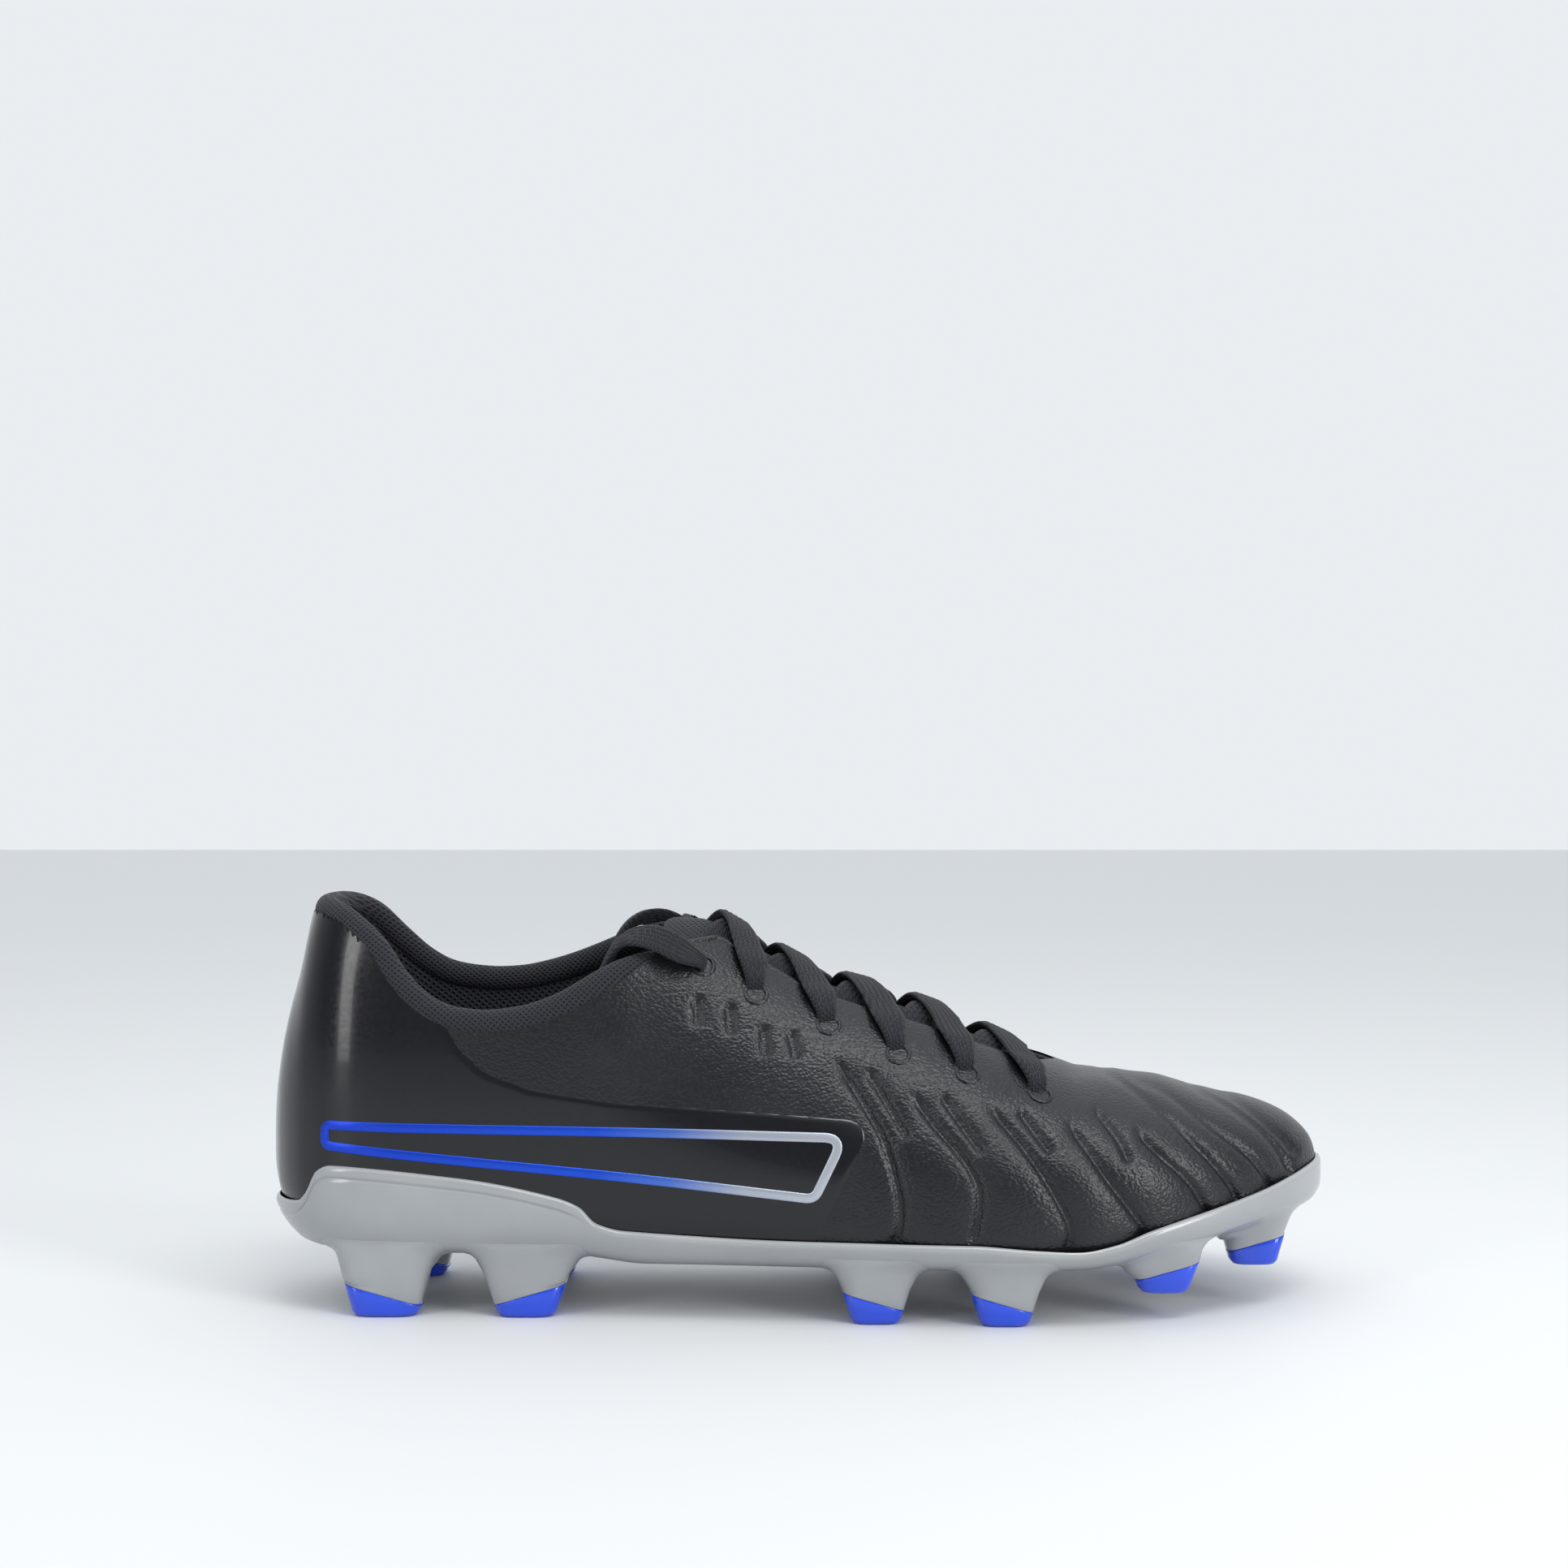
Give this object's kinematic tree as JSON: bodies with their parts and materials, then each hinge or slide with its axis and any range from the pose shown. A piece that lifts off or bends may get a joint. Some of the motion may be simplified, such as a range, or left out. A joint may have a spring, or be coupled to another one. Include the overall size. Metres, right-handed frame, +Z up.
{
  "type": "soccer cleat",
  "caption": "Low-cut lace-up football boot for the right foot, with a padded collar, a soft tongue and a light moulded plate carrying tapered studs with coloured tips.",
  "frame": {"origin": "on the ground under the middle of the shoe's box, between the heel and toe and between the two sides", "axes": "+X towards the toe, +Y towards the medial side, +Z up; the shoe is a right one, so its lateral side faces -Y"},
  "size_m": [0.2845, 0.0931, 0.1084],
  "materials": {
    "black_upper": "fine grained black synthetic leather, satin",
    "stiffener": "stiff board between the layers",
    "foam": "padding",
    "lining": "black mesh",
    "tongue": "soft black face",
    "board": "stitched board",
    "sockliner": "black textile over foam",
    "plate_grey": "glossy light grey moulding",
    "stud_blue": "glossy royal blue",
    "lace_black": "flat woven lace",
    "aglet": "shrunk film"
  },
  "bodies": {
    "rear": {"vamp_flex": "black_upper", "vamp": "black_upper", "quarter_lateral": "black_upper", "quarter_medial": "black_upper", "heel_counter": "stiffener", "eyestay_lateral": "stiffener", "eyestay_medial": "stiffener", "vamp_foam": "foam", "collar_foam": "foam", "vamp_lining": "lining", "quarter_lining": "lining", "flex_lining": "lining", "strobel_board": "board", "sockliner": "sockliner", "outsole_plate": "plate_grey", "stud_tip_heel_lateral_rear": "stud_blue", "stud_tip_heel_lateral_front": "stud_blue", "stud_tip_heel_medial_rear": "stud_blue", "stud_tip_heel_medial_front": "stud_blue", "stud_tip_fore_lateral_rear": "stud_blue", "stud_tip_fore_lateral_mid": "stud_blue", "stud_tip_fore_medial_rear": "stud_blue", "stud_tip_fore_medial_mid": "stud_blue", "lace": "lace_black", "lace_tail_lateral": "lace_black", "lace_tail_medial": "lace_black", "aglet_lateral": "aglet", "aglet_medial": "aglet"},
    "forefoot": {"vamp_toe": "black_upper", "toe_puff": "stiffener", "toe_lining": "lining", "strobel_toe": "board", "sockliner_toe": "sockliner", "outsole_toe": "plate_grey", "stud_tip_fore_lateral_front": "stud_blue", "stud_tip_toe_lateral": "stud_blue", "stud_tip_fore_medial_front": "stud_blue", "stud_tip_toe_medial": "stud_blue"},
    "tongue": {"tongue_face": "tongue", "tongue_foam": "foam", "tongue_lining": "lining"}
  },
  "joints": [
    {"name": "forefoot_flex", "type": "hinge", "parent": "rear", "child": "forefoot", "pos_m": [0.075, 0, 0.014], "axis": [0, -1, 0], "range_deg": [0, 20], "stiffness_Nm_per_rad": 3, "deforming": ["vamp_flex", "flex_lining"]},
    {"name": "tongue_tilt", "type": "hinge", "parent": "rear", "child": "tongue", "pos_m": [0.066, 0, 0.056], "axis": [0, -1, 0], "range_deg": [0, 12], "stiffness_Nm_per_rad": 0.15, "springref_deg": -20.05}
  ]
}
